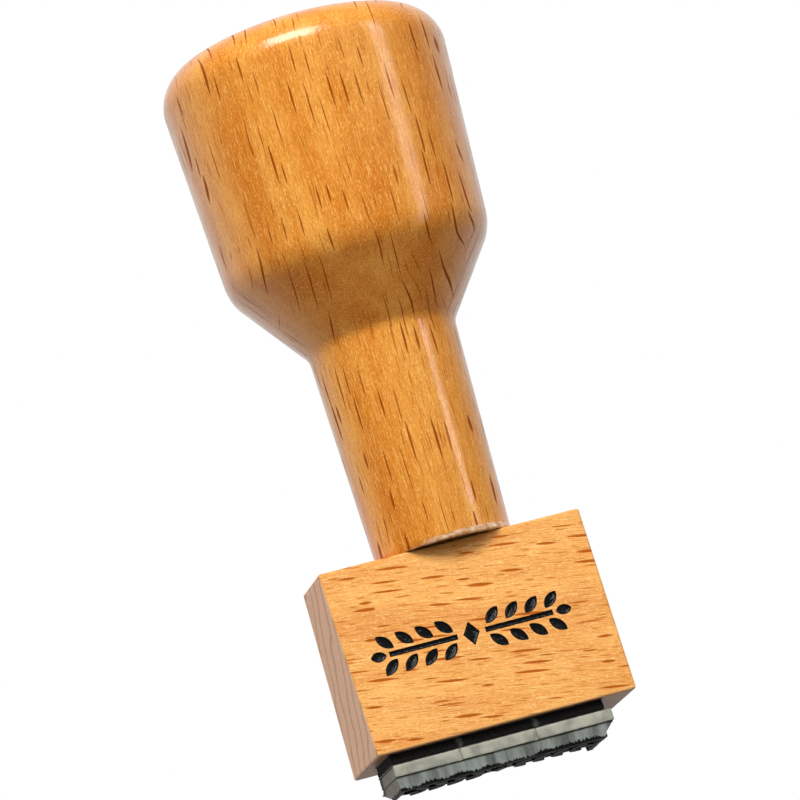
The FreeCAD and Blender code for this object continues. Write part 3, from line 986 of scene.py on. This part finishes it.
def make_floor():
    """Pale paper, clear from below and in reflections, and dim where it lights the object."""
    sh = Shader("floor_look")
    tone = sh.noise(sh.place.outputs["Object"], (0.05, 0.05, 0.05), detail=3.0)
    colour = sh.mix(tone, (0.78, 0.78, 0.77, 1.0), (0.84, 0.84, 0.83, 1.0))
    paper = sh.add("BsdfPrincipled", None, {"Base Color": colour, "Roughness": 0.8})
    clear = sh.add("BsdfTransparent")
    side = sh.add("NewGeometry").outputs["Backfacing"]
    dim = sh.add("BsdfDiffuse", None, {"Color": (0.22, 0.20, 0.18, 1.0)})
    path = sh.add("LightPath").outputs
    seen = path["Is Camera Ray"]
    top = sh.add("MixShader", None, {0: seen, 1: dim.outputs[0], 2: paper.outputs[0]})
    hidden = sh.math("MAXIMUM", side, path["Is Glossy Ray"])
    both = sh.add("MixShader", None, {0: hidden, 1: top.outputs[0], 2: clear.outputs[0]})
    output = sh.add("OutputMaterial")
    sh.tree.links.new(both.outputs[0], output.inputs["Surface"])
    half = FLOOR_HALF
    corners = ((-half, -half), (half, -half), (half, half), (-half, half))
    verts = [(x, y, FLOOR_Z) for x, y in corners]
    mesh = bpy.data.meshes.new("floor")
    mesh.from_pydata([tuple(c * MM for c in v) for v in verts], [], [(0, 1, 2, 3)])
    mesh.materials.append(sh.material)
    floor = bpy.data.objects.new("floor", mesh)
    bpy.context.scene.collection.objects.link(floor)


# Brightness in front of and behind the object: what lights it, and what it mirrors.
LIT_ROOM = (0.40, 0.58)
MIRRORED_ROOM = (0.16, 0.85)
SEEN_ROOM = (1.0, 1.0)

# The point that every light looks at.
LIT_PLACE = Vector((0, 0, 0.05))


def direction(azimuth, elevation):
    """The way to a place seen from the object; azimuth from the front towards +X."""
    flat = math.cos(elevation)
    return Vector((math.sin(azimuth) * flat, -math.cos(azimuth) * flat, math.sin(elevation)))


def softbox(name, azimuth, elevation, distance, width, height, power):
    """A soft light that looks at the object, from these angles in degrees."""
    aim = direction(math.radians(azimuth), math.radians(elevation))
    data = bpy.data.lights.new(name, "AREA")
    data.shape = "RECTANGLE"
    data.size, data.size_y, data.energy = width, height, power
    light = bpy.data.objects.new(name, data)
    light.location = LIT_PLACE + aim * distance
    light.rotation_euler = aim.to_track_quat("Z", "Y").to_euler()
    light.visible_camera = False
    bpy.context.scene.collection.objects.link(light)
    return light


def make_world():
    """A white room that is bright behind the object and darker in front of it; plain
    white where it is seen directly."""
    world = bpy.data.worlds.new("studio")
    bpy.context.scene.world = world
    world.use_nodes = True
    nodes, links = world.node_tree.nodes, world.node_tree.links
    nodes.clear()
    side = nodes.new("ShaderNodeSeparateXYZ")
    links.new(nodes.new("ShaderNodeTexCoord").outputs["Generated"], side.inputs[0])
    shades = []
    for front, behind in (LIT_ROOM, MIRRORED_ROOM, SEEN_ROOM):
        fade = nodes.new("ShaderNodeMapRange")
        fade.interpolation_type = "SMOOTHSTEP"
        links.new(side.outputs["Y"], fade.inputs["Value"])
        limits = {"From Min": -0.15, "From Max": 0.75, "To Min": front, "To Max": behind}
        for name, value in limits.items():
            fade.inputs[name].default_value = value
        shade = nodes.new("ShaderNodeBackground")
        shade.inputs["Color"].default_value = (1, 1, 1, 1)
        links.new(fade.outputs["Result"], shade.inputs["Strength"])
        shades.append(shade.outputs[0])
    path = nodes.new("ShaderNodeLightPath")
    mixed = shades[0]
    for ray, shade in (("Is Glossy Ray", shades[1]), ("Is Camera Ray", shades[2])):
        pick = nodes.new("ShaderNodeMixShader")
        links.new(path.outputs[ray], pick.inputs[0])
        links.new(mixed, pick.inputs[1])
        links.new(shade, pick.inputs[2])
        mixed = pick.outputs[0]
    out = nodes.new("ShaderNodeOutputWorld")
    links.new(mixed, out.inputs["Surface"])


# Turn, rise and roll of the camera, degrees; the point on the handle's foot that it is
# set out from; its place right of, above and behind that point, mm; and its lens, mm.
CAMERA_ANGLES = (-13.13, -10.84, -16.52)
CAMERA_AIM = Vector((-0.61, -0.12, FOOT))
CAMERA_OFFSET = (-4.400, 16.926, 564.7)
SENSOR, LENS = 36, 227.52


def make_camera():
    """A long lens, turned a little to the left, below the block and rolled."""
    yaw, pitch, roll = (math.radians(angle) for angle in CAMERA_ANGLES)
    back = direction(yaw, pitch)
    level = Vector((0, 0, 1)).cross(back).normalized()
    upright = back.cross(level)
    right = level * math.cos(roll) + upright * math.sin(roll)
    up = upright * math.cos(roll) - level * math.sin(roll)
    offset = [axis * reach for axis, reach in zip((right, up, back), CAMERA_OFFSET)]
    place = (CAMERA_AIM + offset[0] + offset[1] + offset[2]) * MM
    data = bpy.data.cameras.new("camera")
    data.sensor_width = SENSOR
    data.lens = LENS
    data.clip_start, data.clip_end = 0.05, 20
    camera = bpy.data.objects.new("camera", data)
    turn = Matrix((right, up, back)).transposed()
    camera.matrix_world = Matrix.Translation(place) @ turn.to_4x4()
    bpy.context.scene.collection.objects.link(camera)
    bpy.context.scene.camera = camera


make_floor()
make_world()
softbox("key", -14, 45, 0.55, 0.26, 0.20, 3.4).visible_glossy = False
softbox("glint", -14, 46, 0.55, 0.32, 0.19, 2.4).visible_diffuse = False
softbox("strip", 54, 4, 0.55, 0.007, 0.60, 0.65).visible_diffuse = False
softbox("haze", 30, 28, 0.6, 0.45, 0.30, 0.9).visible_glossy = False
softbox("fill_left", -80, 15, 0.7, 0.4, 0.6, 0.9).visible_glossy = False
make_camera()
bpy.context.scene.view_settings.view_transform = "Standard"
